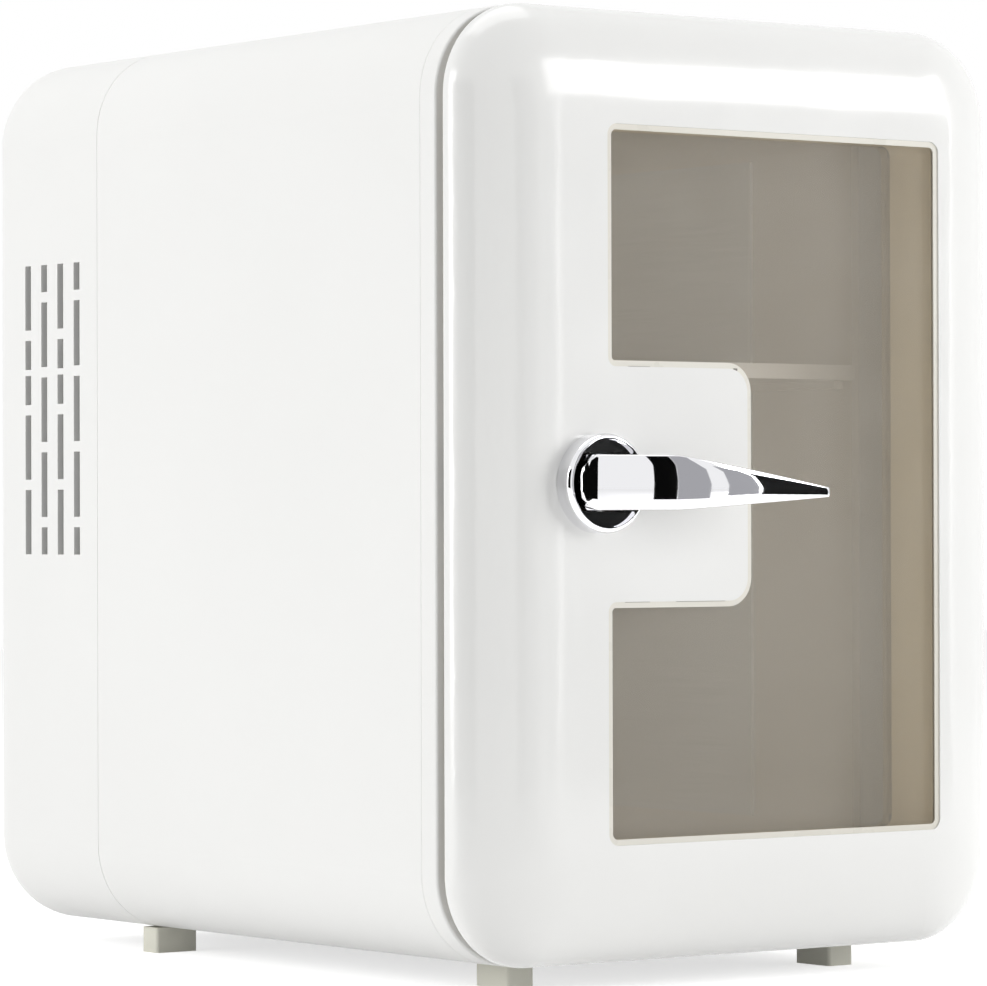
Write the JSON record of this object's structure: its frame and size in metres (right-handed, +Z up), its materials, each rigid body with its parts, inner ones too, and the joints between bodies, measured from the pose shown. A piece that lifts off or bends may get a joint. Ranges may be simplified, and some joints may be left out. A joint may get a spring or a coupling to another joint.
{
  "type": "mini fridge",
  "caption": "Compact thermoelectric fridge with rounded shell, windowed hinged door, chrome lever latch, cooled liner with shelf, rear fan, vents and power sockets",
  "frame": {"origin": "centre of the whole object's box in plan, on the surface that the feet stand on", "axes": "+X to the right seen from the front, +Y to the back, +Z up; the door faces -Y"},
  "size_m": [0.1798, 0.2586, 0.25],
  "materials": {
    "white_shell": "satin warm-white ABS",
    "white_gloss": "polished warm-white ABS",
    "liner_plastic": "off-white moulded liner",
    "frame_cream": "cream moulded frame",
    "foam": null,
    "plate_aluminium": "brushed",
    "ceramic_white": "unglazed ceramic",
    "screw_steel": "zinc plated",
    "latch_steel": "spring steel",
    "hinge_steel": "white powder coat",
    "handle_chrome": "mirror polish",
    "black_plastic": "fine texture",
    "switch_plastic": "satin",
    "copper_wire": "enamelled winding",
    "contact_brass": "nickel plated",
    "board_green": "solder mask",
    "transformer_core": "ferrite and tape",
    "capacitor_sleeve": "shrink sleeve",
    "window_clear": "clear acrylic",
    "seal_rubber": "soft tan seal",
    "foot_rubber": "matt grey-cream"
  },
  "bodies": {
    "cabinet": {"ac_inlet": "black_plastic", "ac_inlet_pins": "contact_brass", "board_screws": "screw_steel", "bulkhead_plate": "liner_plastic", "cabinet_hinge_lower": "hinge_steel", "cabinet_hinge_screws": "screw_steel", "cabinet_hinge_upper": "hinge_steel", "cabinet_shell": "white_shell", "capacitors": "capacitor_sleeve", "cold_block": "plate_aluminium", "cold_plate": "plate_aluminium", "dc_socket": "black_plastic", "dc_socket_pin": "contact_brass", "fan_frame": "black_plastic", "fan_motor": "copper_wire", "fan_screws": "screw_steel", "foam_insulation": "foam", "front_bezel": "white_shell", "front_foot_left": "foot_rubber", "front_foot_right": "foot_rubber", "heat_sink": "plate_aluminium", "heat_sink_screws": "screw_steel", "hinge_pin_lower": "hinge_steel", "hinge_pin_upper": "hinge_steel", "inner_liner": "liner_plastic", "peltier_module": "ceramic_white", "power_board": "board_green", "rear_cover": "white_shell", "rear_cover_screws": "screw_steel", "rear_foot_left": "foot_rubber", "rear_foot_right": "foot_rubber", "shelf": "liner_plastic", "striker_plate": "latch_steel", "striker_rivets": "screw_steel", "switch_housing": "black_plastic", "transformer": "transformer_core"},
    "door": {"door_gasket": "seal_rubber", "door_hinge_lower": "hinge_steel", "door_hinge_screws": "screw_steel", "door_hinge_upper": "hinge_steel", "door_inner_panel": "liner_plastic", "door_screws": "screw_steel", "door_shell": "white_gloss", "handle_rosette": "handle_chrome", "lever_pin": "screw_steel", "rosette_nut": "screw_steel", "window_frame": "frame_cream", "window_inner_pane": "window_clear", "window_outer_pane": "window_clear"},
    "lever": {"handle_lever": "handle_chrome", "latch_hook": "latch_steel", "latch_screws": "screw_steel", "latch_spring": "latch_steel"},
    "fan": {"fan_impeller": "black_plastic"},
    "rocker": {"switch_rocker": "switch_plastic"}
  },
  "joints": [
    {"name": "door_hinge", "type": "hinge", "parent": "cabinet", "child": "door", "pos_m": [0.08735, -0.0926, 0.1285], "axis": [0, 0, 1], "range_deg": [0, 135]},
    {"name": "lever_pivot", "type": "hinge", "parent": "door", "child": "lever", "pos_m": [-0.0525, -0.10875, 0.1289], "axis": [0, 0, -1], "range_deg": [0, 8], "stiffness_Nm_per_rad": 0.25, "springref_deg": -6.88},
    {"name": "fan_spin", "type": "hinge", "parent": "cabinet", "child": "fan", "pos_m": [-0.0011, 0.11375, 0.1512], "axis": [0, 1, 0], "continuous": true},
    {"name": "switch_rock", "type": "hinge", "parent": "cabinet", "child": "rocker", "pos_m": [0.0329, 0.12265, 0.052], "axis": [1, 0, 0], "range_deg": [-8, 8]}
  ]
}
